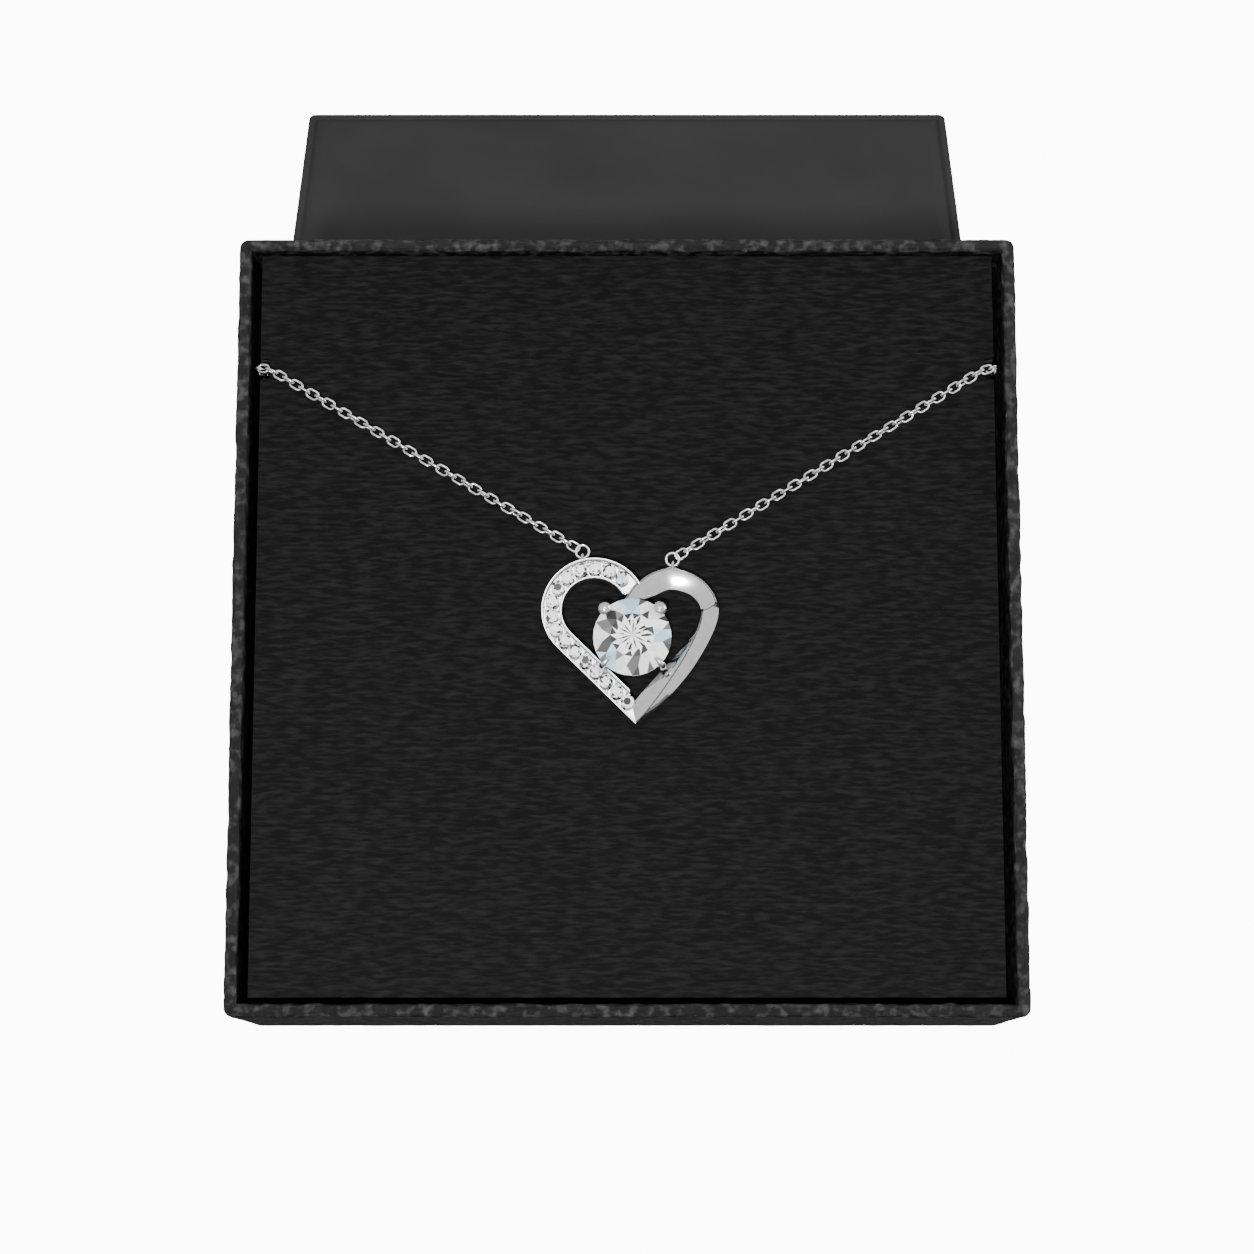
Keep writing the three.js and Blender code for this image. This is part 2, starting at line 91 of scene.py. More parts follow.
BAND_BACK = CARD_TOP + 0.25
BAND_FRONT = BAND_BACK + 1.8
LOBE_X, LOBE_Y, LOBE_R = -3.7, 45.9, 4.87
LOBE_HALF = 1.22
LOBE_START = math.radians(30)
HEART_TIP = Vector((0.95, 34.45))
# Both halves end on one line at the heart's tip.
TIP_CUT = (Vector((1.02, 32.67, 0)), Vector((0.24, 36.86, 0)))
PAVE_COUNT = 16
PAVE_RADIUS = 0.78
PAVE_END = 1.3
STONE_X, STONE_Y, STONE_R = 0.6, 42.6, 4.43
STONE_GIRDLE = BAND_FRONT + 0.75
LOOP_LEFT = Vector((-5.1, 52.15, CHAIN_LIFT))
LOOP_RIGHT = Vector((5.2, 51.25, CHAIN_LIFT))
LOOP_RADIUS = 0.46
RING_RADIUS = 0.75
RING_WIRE = 0.16
CLASP = Vector((-1, 27, CARD_BACK - 4.2))

# The basket: lines give distance from the stone's axis, and height above the base.
BASE_RING_RADIUS = 3.3
BASE_RING_WIRE = 0.34
CLAW_STEM = [(3.3, 0.35), (3.8, 1.8), (4.68, 2.55)]
ROUND_END = [(4.64, 3.2), (4.45, 3.5)]
POINTED_END = [(4.72, 3.3), (4.35, 3.72), (3.55, 3.72)]
CLAW_BEAD = 0.78

# The camera, in metres, degrees and millimetres of lens.
CAMERA_PLACE = (0, -0.2498, 0.2622)
CAMERA_DOWN = 48.78
CAMERA_LENS = 76.08
CAMERA_SENSOR = 36
CAMERA_SHIFT_Y = 0.1

# ---------- the tray's own frame: x to the right, y up its face, z out of it ----------
card_axis = Vector(next(j["axis"] for j in frame["joints"] if j["name"] == "card_lift_out"))
tilt = math.atan2(-card_axis.y, card_axis.z)
tray_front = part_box("tray_wrap")[0][1]
tray_origin = Vector((0, tray_front + TRAY_DEPTH * MM * math.sin(tilt), 0))
TRAY = Matrix.Translation(tray_origin) @ Matrix.Rotation(tilt, 4, "X") @ Matrix.Scale(MM, 4)
lid_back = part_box("lid_wrap")[1][1]
lid_origin = Vector((0, lid_back, LID_HEIGHT * MM))
LID = Matrix.Translation(lid_origin) @ Matrix.Rotation(math.pi, 4, "X") @ Matrix.Scale(MM, 4)
IDENTITY = Matrix.Scale(1, 4)


# ---------- mesh helpers ----------
def face_outwards(mesh):
    work = bmesh.new()
    work.from_mesh(mesh)
    bmesh.ops.recalc_face_normals(work, faces=work.faces)
    work.to_mesh(mesh)
    work.free()
    mesh.update()


def make(name, verts, faces, place, look, smooth=True):
    mesh = bpy.data.meshes.new(name)
    mesh.from_pydata([tuple(v) for v in verts], [], faces)
    mesh.transform(place)
    mesh.validate()
    face_outwards(mesh)
    piece = bpy.data.objects.new(name, mesh)
    bpy.context.scene.collection.objects.link(piece)
    mesh.materials.append(look)
    if smooth:
        mesh.polygons.foreach_set("use_smooth", [True] * len(mesh.polygons))
    return piece


def joined(parts):
    verts = []
    faces = []
    for part_verts, part_faces in parts:
        base = len(verts)
        verts.extend(part_verts)
        faces.extend(tuple(i + base for i in face) for face in part_faces)
    return verts, faces


def grid_faces(rows, columns, close_rows=False, close_columns=False):
    faces = []
    for i in range(rows if close_rows else rows - 1):
        for j in range(columns if close_columns else columns - 1):
            a = i * columns + j
            b = i * columns + (j + 1) % columns
            c = ((i + 1) % rows) * columns + (j + 1) % columns
            d = ((i + 1) % rows) * columns + j
            faces.append((a, b, c, d))
    return faces


def slab_faces(rows, columns):
    """The faces of a top grid, of the same grid under it, and of the edge between them."""
    step = rows * columns
    top = grid_faces(rows, columns)
    under = [tuple(i + step for i in face)[::-1] for face in top]
    edge = list(range(columns))
    edge += [r * columns + columns - 1 for r in range(1, rows)]
    edge += [(rows - 1) * columns + c for c in range(columns - 2, -1, -1)]
    edge += [r * columns for r in range(rows - 2, 0, -1)]
    side = [(a, a + step, b + step, b) for a, b in zip(edge, edge[1:] + edge[:1])]
    return top + under + side


def value_noise(x, y, cell_x, cell_y, seed):
    """Smooth noise from -1 to 1 on a lattice of random values."""
    rng = np.random.default_rng(seed)
    table = rng.uniform(-1, 1, (256, 256))
    u = np.asarray(x) / cell_x
    v = np.asarray(y) / cell_y
    i = np.floor(u).astype(int)
    j = np.floor(v).astype(int)
    fu = u - i
    fv = v - j
    fu = fu * fu * (3 - 2 * fu)
    fv = fv * fv * (3 - 2 * fv)
    a = table[i % 256, j % 256]
    b = table[(i + 1) % 256, j % 256]
    c = table[i % 256, (j + 1) % 256]
    d = table[(i + 1) % 256, (j + 1) % 256]
    return (a * (1 - fu) + b * fu) * (1 - fv) + (c * (1 - fu) + d * fu) * fv


def sweep(points, normals, section, closed):
    """A section of (side, up) offsets carried along points. Each normal is the section's up."""
    count = len(points)
    verts = []
    for i, point in enumerate(points):
        before = points[(i - 1) % count] if closed or i > 0 else point
        after = points[(i + 1) % count] if closed or i < count - 1 else point
        along = (after - before).normalized()
        up = (normals[i] - along * normals[i].dot(along)).normalized()
        side = along.cross(up)
        ring = section(i / max(1, count - 1)) if callable(section) else section
        verts.extend(point + side * a + up * b for a, b in ring)
    sides = len(verts) // count
    faces = grid_faces(count, sides, close_rows=closed, close_columns=True)
    if not closed:
        faces.append(tuple(range(sides))[::-1])
        faces.append(tuple((count - 1) * sides + j for j in range(sides)))
    return verts, faces


def circle(radius, sides):
    return [
        (radius * math.cos(2 * math.pi * i / sides), radius * math.sin(2 * math.pi * i / sides))
        for i in range(sides)
    ]


def spline(controls, count):
    """Catmull-Rom through the control points, at even distances."""
    fine = []
    pts = [controls[0] * 2 - controls[1]] + list(controls) + [controls[-1] * 2 - controls[-2]]
    for k in range(1, len(pts) - 2):
        p0, p1, p2, p3 = pts[k - 1], pts[k], pts[k + 1], pts[k + 2]
        for step in range(24):
            t = step / 24
            fine.append(
                0.5 * (2 * p1 + (p2 - p0) * t + (2 * p0 - 5 * p1 + 4 * p2 - p3) * t * t
                       + (3 * p1 - p0 - 3 * p2 + p3) * t * t * t)
            )
    fine.append(controls[-1].copy())
    return resample(fine, count)


def resample(points, count):
    lengths = [0.0]
    for a, b in zip(points, points[1:]):
        lengths.append(lengths[-1] + (b - a).length)
    out = []
    k = 0
    for i in range(count):
        s = lengths[-1] * i / (count - 1)
        while k < len(points) - 2 and lengths[k + 1] < s:
            k += 1
        span = max(lengths[k + 1] - lengths[k], 1e-9)
        out.append(points[k].lerp(points[k + 1], (s - lengths[k]) / span))
    return out


# ---------- materials ----------
def shader(name):
    look = bpy.data.materials.new(name)
    look.use_nodes = True
    nodes = look.node_tree.nodes
    links = look.node_tree.links
    return look, nodes, links, nodes["Principled BSDF"]


def add_noise(nodes, links, scale, detail, stretch=(1, 1, 1), turn=(0, 0, 0)):
    coords = nodes.new("ShaderNodeTexCoord")
    mapping = nodes.new("ShaderNodeMapping")
    mapping.inputs["Scale"].default_value = stretch
    mapping.inputs["Rotation"].default_value = turn
    noise = nodes.new("ShaderNodeTexNoise")
    noise.inputs["Scale"].default_value = scale
    noise.inputs["Detail"].default_value = detail
    links.new(coords.outputs["Object"], mapping.inputs["Vector"])
    links.new(mapping.outputs["Vector"], noise.inputs["Vector"])
    return noise


def add_ramp(nodes, links, source, stops):
    ramp = nodes.new("ShaderNodeValToRGB")
    ramp.color_ramp.elements[0].position = stops[0][0]
    ramp.color_ramp.elements[0].color = stops[0][1]
    ramp.color_ramp.elements[1].position = stops[1][0]
    ramp.color_ramp.elements[1].color = stops[1][1]
    links.new(source, ramp.inputs["Fac"])
    return ramp


def add_bump(nodes, links, source, target, strength, distance):
    bump = nodes.new("ShaderNodeBump")
    bump.inputs["Strength"].default_value = strength
    bump.inputs["Distance"].default_value = distance
    links.new(source, bump.inputs["Height"])
    links.new(bump.outputs["Normal"], target.inputs["Normal"])


def grey(level, blue=0.0):
    return (level, level, level + blue, 1)


def leatherette():
    look, nodes, links, base = shader("leatherette")
    mottle = add_noise(nodes, links, 1000, 9)
    tone = add_ramp(nodes, links, mottle.outputs["Fac"], [(0.48, grey(0.003)), (0.70, grey(0.045, 0.001))])
    links.new(tone.outputs["Color"], base.inputs["Base Color"])
    shine = add_ramp(nodes, links, mottle.outputs["Fac"], [(0.3, grey(0.5)), (0.75, grey(0.28))])
    links.new(shine.outputs["Color"], base.inputs["Roughness"])
    grain = nodes.new("ShaderNodeTexVoronoi")
    grain.inputs["Scale"].default_value = 1500
    add_bump(nodes, links, grain.outputs["Distance"], base, 0.5, 0.00015)
    base.inputs["Specular IOR Level"].default_value = 0.24
    return look


def soft_grey_paper():
    look, nodes, links, base = shader("grey_paper")
    cloud = add_noise(nodes, links, 60, 4)
    stops = [(0.3, grey(0.021, 0.0005)), (0.75, grey(0.027, 0.0005))]
    tone = add_ramp(nodes, links, cloud.outputs["Fac"], stops)
    links.new(tone.outputs["Color"], base.inputs["Base Color"])
    tooth = add_noise(nodes, links, 5000, 3)
    add_bump(nodes, links, tooth.outputs["Fac"], base, 0.15, 0.00005)
    base.inputs["Roughness"].default_value = 0.7
    base.inputs["Specular IOR Level"].default_value = 0.12
    return look


def wrinkled_card():
    look, nodes, links, base = shader("card")
    streak = add_noise(nodes, links, 2600, 6, stretch=(0.2, 1, 1))
    tone = add_ramp(nodes, links, streak.outputs["Fac"], [(0.42, grey(0.0018)), (0.68, grey(0.0085))])
    links.new(tone.outputs["Color"], base.inputs["Base Color"])
    add_bump(nodes, links, streak.outputs["Fac"], base, 0.45, 0.00012)
    base.inputs["Roughness"].default_value = 0.65
    base.inputs["Specular IOR Level"].default_value = 0.06
    return look


def plain(name, low, high, scale, roughness, bump):
    look, nodes, links, base = shader(name)
    fibre = add_noise(nodes, links, scale, 5)
    tone = add_ramp(nodes, links, fibre.outputs["Fac"], [(0.3, low), (0.7, high)])
    links.new(tone.outputs["Color"], base.inputs["Base Color"])
    add_bump(nodes, links, fibre.outputs["Fac"], base, bump, 0.0002)
    base.inputs["Roughness"].default_value = roughness
    return look


def polished_silver(name, roughness):
    look, nodes, links, base = shader(name)
    haze = add_noise(nodes, links, 1200, 3)
    tone = add_ramp(nodes, links, haze.outputs["Fac"], [(0.3, grey(0.80, 0.01)), (0.7, grey(0.90, 0.01))])
    links.new(tone.outputs["Color"], base.inputs["Base Color"])
    add_bump(nodes, links, haze.outputs["Fac"], base, 0.03, 0.00003)
    base.inputs["Metallic"].default_value = 1
    base.inputs["Roughness"].default_value = roughness
    return look


def cut_crystal():
    look, nodes, links, base = shader("crystal")
    facet = nodes.new("ShaderNodeVertexColor")
    facet.layer_name = "facet"
    # The crystal's base colour is painted reflection: bright, dark and pale blue faces stand in for the
    # stone's sparkle.
    links.new(facet.outputs["Color"], base.inputs["Base Color"])
    base.inputs["Roughness"].default_value = 0.05
    base.inputs["IOR"].default_value = 1.6
    base.inputs["Specular IOR Level"].default_value = 0.12
    return look


LEATHERETTE = leatherette()
GREY_PAPER = soft_grey_paper()
CARD = wrinkled_card()
BLACK_PAPER = plain("black_paper", grey(0.012), grey(0.022), 2500, 0.8, 0.2)
GREYBOARD = plain("greyboard", (0.22, 0.20, 0.18, 1), (0.32, 0.30, 0.27, 1), 1500, 0.9, 0.3)
FOAM = plain("foam", grey(0.005), grey(0.02), 1800, 0.95, 0.8)
SILVER = polished_silver("silver", 0.1)
STEEL = polished_silver("steel", 0.3)
CRYSTAL = cut_crystal()


# ---------- the box: wrapped shells ----------
def square_path(size, cy, inset, corner_radius, per_side):
    """Points round a square with rounded corners, moved in by inset, and their outward normals."""
    radius = max(corner_radius - inset, 0.05)
    reach = size / 2 - inset - radius
    points = []
    normals = []
    for k in range(4):
        start = math.pi / 2 * k - math.pi / 2
        cx = reach * (1 if k in (0, 1) else -1)
        corner_y = reach * (1 if k in (1, 2) else -1)
        for i in range(9):
            a = start + math.pi / 2 * i / 8
            points.append((cx + radius * math.cos(a), cy + corner_y + radius * math.sin(a)))
            normals.append((math.cos(a), math.sin(a)))
        a = start + math.pi / 2
        nx = reach * (1 if k in (0, 3) else -1)
        ny = reach * (1 if k in (0, 1) else -1)
        first = points[-1]
        last = (nx + radius * math.cos(a), cy + ny + radius * math.sin(a))
        for i in range(1, per_side):
            t = i / per_side
            points.append((first[0] + (last[0] - first[0]) * t, first[1] + (last[1] - first[1]) * t))
            normals.append((math.cos(a), math.sin(a)))
    return points, normals


def shell_profile(depth, floor_inset, rim_radius, foot_radius):
    """(inset, height) from the fold's lower edge, over the rim, down the side and under the floor."""
    outer = [(WALL, z) for z in np.linspace(depth - TURN_IN, depth - rim_radius, 14)]
    steps = 5
    for i in range(1, steps + 1):
        a = math.pi / 2 * i / steps
        outer.append((WALL - rim_radius * (1 - math.cos(a)), depth - rim_radius * (1 - math.sin(a))))
    for i in range(steps + 1):
        a = math.pi / 2 * i / steps
        outer.append((rim_radius * (1 - math.sin(a)), depth - rim_radius * (1 - math.cos(a))))
    outer += [(0, z) for z in np.linspace(depth - rim_radius, foot_radius, 36)[1:]]
    for i in range(1, steps + 1):
        a = math.pi / 2 * i / steps
        outer.append((foot_radius * (1 - math.cos(a)), foot_radius * (1 - math.sin(a))))
    outer += [(x, 0) for x in np.linspace(foot_radius, floor_inset, 6)[1:]]
    return outer


def wrap_offset(profile, i, thickness):
    a = profile[max(i - 1, 0)]
    b = profile[min(i + 1, len(profile) - 1)]
    length = math.hypot(b[0] - a[0], b[1] - a[1])
    nx = (b[1] - a[1]) / length
    nz = -(b[0] - a[0]) / length
    return profile[i][0] - nx * thickness, profile[i][1] - nz * thickness


def wrap_mesh(size, profile, per_side, wrinkle):
    """The wrap as one closed skin: its outer face, then back along its glued face."""
    cy = size / 2
    glued = [wrap_offset(profile, i, WRAP) for i in range(len(profile))]
    rows = profile + glued[::-1]
    verts = []
    run = None
    for r, (inset, height) in enumerate(rows):
        points, normals = square_path(size, cy, inset, CORNER_RADIUS, per_side)
        if run is None:
            run = np.cumsum([0] + [math.dist(a, b) for a, b in zip(points, points[1:])])
        lift = np.zeros(len(points))
        if r < len(profile):
            across = r * 0.45
            lift = wrinkle(run, np.full(len(points), across), height)
        ahead = rows[min(r + 1, len(profile) - 1)]
        behind = rows[max(r - 1, 0)]
        length = math.hypot(ahead[0] - behind[0], ahead[1] - behind[1]) or 1
        out = -(ahead[1] - behind[1]) / length
        up = (ahead[0] - behind[0]) / length
        for (x, y), (nx, ny), d in zip(points, normals, lift):
            verts.append((x + nx * out * d, y + ny * out * d, height - up * d))
    columns = len(verts) // len(rows)
    faces = grid_faces(len(rows), columns, close_rows=True, close_columns=True)
    return verts, faces


def leather_wrinkle(run, across, height):
    """Creases over the rim and down the sides, at most about 0.2 mm deep."""
    coarse = value_noise(run, across * 3 + 7, 1.6, 1.1, 11)
    fine = value_noise(run, across * 3 + 40, 0.7, 0.6, 12)
    fold = value_noise(run, across + 90, 2.4, 6, 13)
    near_rim = math.exp(-((TRAY_DEPTH - height) / 3.5) ** 2)
    depth = 0.03 + 0.08 * near_rim
    return depth * (coarse + 0.6 * fine - 1.2 * np.clip(fold - 0.6, 0, 1))


def paper_wrinkle(run, across, height):
    return 0.008 * value_noise(run, across + 5, 9, 9, 21)


def tray_wrap():
    panel_inset = 14
    profile = shell_profile(TRAY_DEPTH, panel_inset, 0.45, 0.45)
    verts, faces = wrap_mesh(TRAY_SIZE, profile, 220, leather_wrinkle)
    piece = make("tray_wrap_leatherette", verts, faces, TRAY, LEATHERETTE)
    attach(piece, "tray")
    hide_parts("tray_wrap")


def lid_wrap():
    """The lid's top has a fine groove a millimetre in from its edges, where its cover panel ends."""
    groove_in, groove_out, groove_deep = 1.5, 0.95, 0.27
    profile = shell_profile(LID_HEIGHT, groove_out, 0.45, 0.35)
    mid = (groove_in + groove_out) / 2
    profile += [(mid - 0.14, groove_deep), (mid + 0.14, groove_deep)]
    profile += [(groove_in, 0), (groove_in + 1.5, 0)]
    count = len(profile)
    verts, faces = wrap_mesh(LID_SIZE, profile, 60, paper_wrinkle)
    columns = len(verts) // (2 * count)
    faces = [f for f in faces if f[0] // columns != count - 1]
    top = tuple((count - 1) * columns + j for j in range(columns))
    under = tuple(count * columns + j for j in range(columns))[::-1]
    faces += [top, under]
    piece = make("lid_wrap_paper", verts, faces, LID, GREY_PAPER, smooth=False)
    mark_smooth_sides(piece)
    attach(piece, "lid")
    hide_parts("lid_wrap")


def mark_smooth_sides(piece):
    for face in piece.data.polygons:
        face.use_smooth = len(face.vertices) == 4


# ---------- the insert ----------
def card_height_map(x, y):
    """Fine wrinkles that run across the card."""
    long = value_noise(x, y, 3.2, 0.55, 31)
    short = value_noise(x + 50, y, 1.4, 0.33, 32)
    broad = value_noise(x, y + 30, 14, 8, 33)
    return 0.016 * long + 0.011 * short + 0.025 * broad


def insert_card():
    columns = 150
    rows = 430
    xs = np.linspace(-CARD_WIDTH / 2, CARD_WIDTH / 2, columns)
    ys = np.linspace(CARD_BOTTOM, CARD_BOTTOM + CARD_HEIGHT, rows)
    verts = []
    for level in (0, 1):
        for y in ys:
            in_notch = abs(y - CHAIN_EDGE_Y) < NOTCH_WIDTH / 2
            limit = CARD_WIDTH / 2 - (NOTCH_DEPTH if in_notch else 0)
            row_x = np.clip(xs, -limit, limit)
            if in_notch:
                row_x = np.linspace(-limit, limit, columns)
            lift = card_height_map(row_x, np.full(columns, y))
            for x, d in zip(row_x, lift):
                verts.append((x, y, CARD_TOP - 0.06 + d if level == 0 else CARD_BACK))
    piece = make("insert_card_wrinkled", verts, slab_faces(rows, columns), TRAY, CARD)
    sharpen(piece, 40)
    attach(piece, "card")
    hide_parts("insert_card")


def sharpen(piece, degrees):
    piece.data.set_sharp_from_angle(angle=math.radians(degrees))


def foam_pad():
    """Cut foam with a pocket and a channel across it, whose edges are slightly rounded."""
    count = 200
    half = FOAM_WIDTH / 2
    cy = TRAY_SIZE / 2
    xs = np.linspace(-half, half, count)
    ys = np.linspace(cy - half, cy + half, count)
    gx, gy = np.meshgrid(xs, ys)
    px, low, high, deep = POCKET
    edge = np.minimum(np.minimum(px - np.abs(gx), gy - low), high - gy)
    pocket = np.clip(edge / 0.5 + 0.5, 0, 1) * deep
    channel_edge = (CHANNEL_HALF - np.abs(gy - CHAIN_EDGE_Y)) / 0.4 + 0.5
    channel = np.clip(channel_edge, 0, 1) * CHANNEL_DEPTH
    rim = np.clip((half - np.maximum(np.abs(gx), np.abs(gy - cy))) / 0.6, 0, 1)
    lift = 0.12 * value_noise(gx, gy, 0.9, 0.9, 41) * rim
    top = FOAM_TOP - 0.15 - np.maximum(pocket, channel) - 0.5 * (1 - rim) ** 2 + lift
    verts = list(zip(gx.ravel(), gy.ravel(), top.ravel()))
    verts += [(x, y, FOAM_FLOOR) for x, y in zip(gx.ravel(), gy.ravel())]
    piece = make("foam_pad_cut", verts, slab_faces(count, count), TRAY, FOAM)
    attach(piece, "foam")
    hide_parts("foam_pad")


# ---------- the chain ----------
def link_mesh(centre, along, face, length, width, wire):
    """One oval link of round wire, lying in the plane of along and the direction across it."""
    across = face.cross(along).normalized()
    points = []
    turns = 14
    straight = (length - width) / 2
    bend = width / 2 - wire
    for i in range(turns):
        a = 2 * math.pi * i / turns
        u = bend * math.cos(a) + math.copysign(straight, math.cos(a))
        points.append(centre + along * u + across * (bend * math.sin(a)))
    normals = [face] * turns
    return sweep(points, normals, circle(wire, 6), closed=True)


def chain_links(path, tilt_seed):
    """Links along a path, each a quarter turn from the last, with a little play."""
    rng = np.random.default_rng(tilt_seed)
    total = sum((b - a).length for a, b in zip(path, path[1:]))
    count = int(total / LINK_PITCH)
    spots = resample(path, count * 4 + 1)
    parts = []
    up = Vector((0, 0, 1))
    for i in range(count):
        centre = spots[i * 4 + 2]
        along = (spots[i * 4 + 4] - spots[i * 4]).normalized()
        side = along.cross(up).normalized()
        flat = side.cross(along)
        roll = math.pi / 2 * (i % 2) + rng.uniform(-0.32, 0.32)
        face = flat * math.cos(roll) + side * math.sin(roll)
        parts.append(link_mesh(centre, along, face, LINK_LENGTH, LINK_WIDTH, LINK_WIRE))
    return parts


def chain_edge(side):
    """Where the chain leaves its straight run over the card and starts to turn down."""
    return Vector((side * CHAIN_EDGE_X, CHAIN_EDGE_Y - 0.6, CHAIN_LIFT))


def turn_route(side):
    back = CARD_BACK - 1.1
    controls = [
        chain_edge(side),
        Vector((side * 41.9, CHAIN_EDGE_Y - 0.1, CHAIN_LIFT - 0.1)),
        Vector((side * 42.45, CHAIN_EDGE_Y, CARD_TOP - 0.2)),
        Vector((side * 42.1, CHAIN_EDGE_Y, CARD_BACK - 0.75)),
        Vector((side * 41.0, CHAIN_EDGE_Y, back)),
        Vector((side * 36.5, CHAIN_EDGE_Y, back - 0.2)),
    ]
    return spline(controls, 40)


def pocket_route(side):
    rest = FOAM_TOP - POCKET[3] + 0.55 + 0.6
    controls = [
        Vector((side * 36.1, CHAIN_EDGE_Y, CARD_BACK - 1.35)),
        Vector((side * 34.3, CHAIN_EDGE_Y - 0.6, CARD_BACK - 2.2)),
        Vector((side * 33, CHAIN_EDGE_Y - 2.6, CARD_BACK - 4.4)),
    ]
    downwards = (RUN_HIGH, (RUN_HIGH + RUN_LOW) / 2, RUN_LOW)
    for i in range(POCKET_RUNS):
        ends = downwards if i % 2 == 0 else downwards[::-1]
        controls += [Vector((side * (RUN_FIRST - RUN_PITCH * i), y, rest)) for y in ends]
    controls += [
        Vector((side * 5, 50, rest)),
        Vector((side * 7, 36, rest)),
        Vector((side * 10.5, 29, rest + 0.8)),
        Vector((CLASP.x + side * 8.6, CLASP.y - (1.5 if side > 0 else 0), CLASP.z)),
    ]
    return spline(controls, 400)


def chain_side(label, side):
    loop = LOOP_LEFT if side < 0 else LOOP_RIGHT
    ring_centre = loop + Vector((0, RING_RADIUS, 0))
    edge = chain_edge(side)
    along = (edge - ring_centre).normalized()
    start = ring_centre + along * (RING_RADIUS - 0.1)
    front = [start.lerp(edge, i / 30) for i in range(31)]
    route = front + turn_route(side)[1:] + pocket_route(side)[1:]
    verts, faces = joined(chain_links(route, 50 + side))
    piece = make(f"chain_{label}_links", verts, faces, TRAY, SILVER)
    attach(piece, "card")
    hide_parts(f"chain_{label}_front", f"chain_{label}_turn", f"chain_{label}_back")


def jump_ring(label, loop):
    centre = loop + Vector((0, RING_RADIUS, 0))
    points = []
    for i in range(40):
        a = 2 * math.pi * i / 40
        points.append(centre + Vector((RING_RADIUS * math.cos(a), RING_RADIUS * math.sin(a), 0)))
    up = [Vector((0, 0, 1))] * len(points)
    verts, faces = sweep(points, up, circle(RING_WIRE, 12), closed=True)
    piece = make(f"jump_ring_{label}_round", verts, faces, TRAY, SILVER)
    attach(piece, "card")
    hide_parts(f"jump_ring_{label}")


# ---------- the pendant ----------
def lobe_point(angle, radius=LOBE_R):
    return Vector((LOBE_X + radius * math.cos(angle), LOBE_Y + radius * math.sin(angle)))


def lobe_touch_angle():
    dx = HEART_TIP.x - LOBE_X
    dy = HEART_TIP.y - LOBE_Y
    return 2 * math.pi + math.atan2(dy, dx) - math.acos(LOBE_R / math.hypot(dx, dy))


def pave_line(start_angle, end_cut, count):
    """The stone-set half's middle line: round the lobe, then straight to the tip."""
    end = lobe_touch_angle()
    points = [lobe_point(start_angle + (end - start_angle) * i / 60) for i in range(61)]
    touch = points[-1]
    run = HEART_TIP - touch
    points.append(touch + run * (1 - end_cut / run.length))
    return resample([Vector((p.x, p.y, 0)) for p in points], count)


def set_height(points, z):
    return [Vector((p.x, p.y, z)) for p in points]


def hanging_loop(centre):
    axis = (LOOP_RIGHT - LOOP_LEFT).normalized()
    across = Vector((0, 0, 1))
    other = axis.cross(across)
    points = []
    for i in range(28):
        a = 2 * math.pi * i / 28
        points.append(centre + (across * math.cos(a) + other * math.sin(a)) * LOOP_RADIUS)
    return sweep(points, [axis] * 28, circle(RING_WIRE, 10), closed=True)


def pave_section():
    """A channel: two thin raised rails, and a floor between them for the stones."""
    w = LOBE_HALF
    z = BAND_FRONT - BAND_BACK
    return [
        (-w + 0.15, 0), (w - 0.15, 0), (w, 0.2), (w, z - 0.12), (w - 0.1, z), (w - 0.22, z),
        (w - 0.3, z - 0.12), (w - 0.32, z - 1.0), (-w + 0.32, z - 1.0), (-w + 0.3, z - 0.12),
        (-w + 0.22, z), (-w + 0.1, z), (-w, z - 0.12), (-w, 0.2),
    ]


def bead(centre, radius, flatten=1.0, rings=5, sides=8):
    """A round grain of metal, flattened along z."""
    verts = []
    for r in range(1, rings):
        a = math.pi * r / rings
        for k in range(sides):
            b = 2 * math.pi * k / sides
            spot = Vector((math.sin(a) * math.cos(b), math.sin(a) * math.sin(b), math.cos(a) * flatten))
            verts.append(centre + spot * radius)
    faces = [f[::-1] for f in grid_faces(rings - 1, sides, close_columns=True)]
    verts.append(centre + Vector((0, 0, radius * flatten)))
    verts.append(centre - Vector((0, 0, radius * flatten)))
    top, low = len(verts) - 2, len(verts) - 1
    base = (rings - 2) * sides
    for k in range(sides):
        faces.append((top, k, (k + 1) % sides))
        faces.append((low, base + (k + 1) % sides, base + k))
    return verts, faces


def trimmed(part, line, keep, below):
    """A closed mesh whose part below a height y is cut off along an upright plane through line."""
    verts, faces = part
    start, end = line
    away = Vector((end.y - start.y, start.x - end.x, 0)).normalized()
    if (keep - start).dot(away) > 0:
        away = -away
    work = bmesh.new()
    made = [work.verts.new(v) for v in verts]
    for face in faces:
        work.faces.new([made[i] for i in face])
    low_verts = [v for v in work.verts if v.co.y < below]
    low_edges = [e for e in work.edges if all(v.co.y < below for v in e.verts)]
    low_faces = [f for f in work.faces if all(v.co.y < below for v in f.verts)]
    low = low_verts + low_edges + low_faces
    cut = bmesh.ops.bisect_plane(work, geom=low, plane_co=start, plane_no=away, clear_outer=True)
    rim = [piece for piece in cut["geom_cut"] if isinstance(piece, bmesh.types.BMEdge)]
    bmesh.ops.edgenet_fill(work, edges=rim)
    work.verts.index_update()
    left_verts = [v.co.copy() for v in work.verts]
    left_faces = [tuple(v.index for v in face.verts) for face in work.faces]
    work.free()
    return left_verts, left_faces


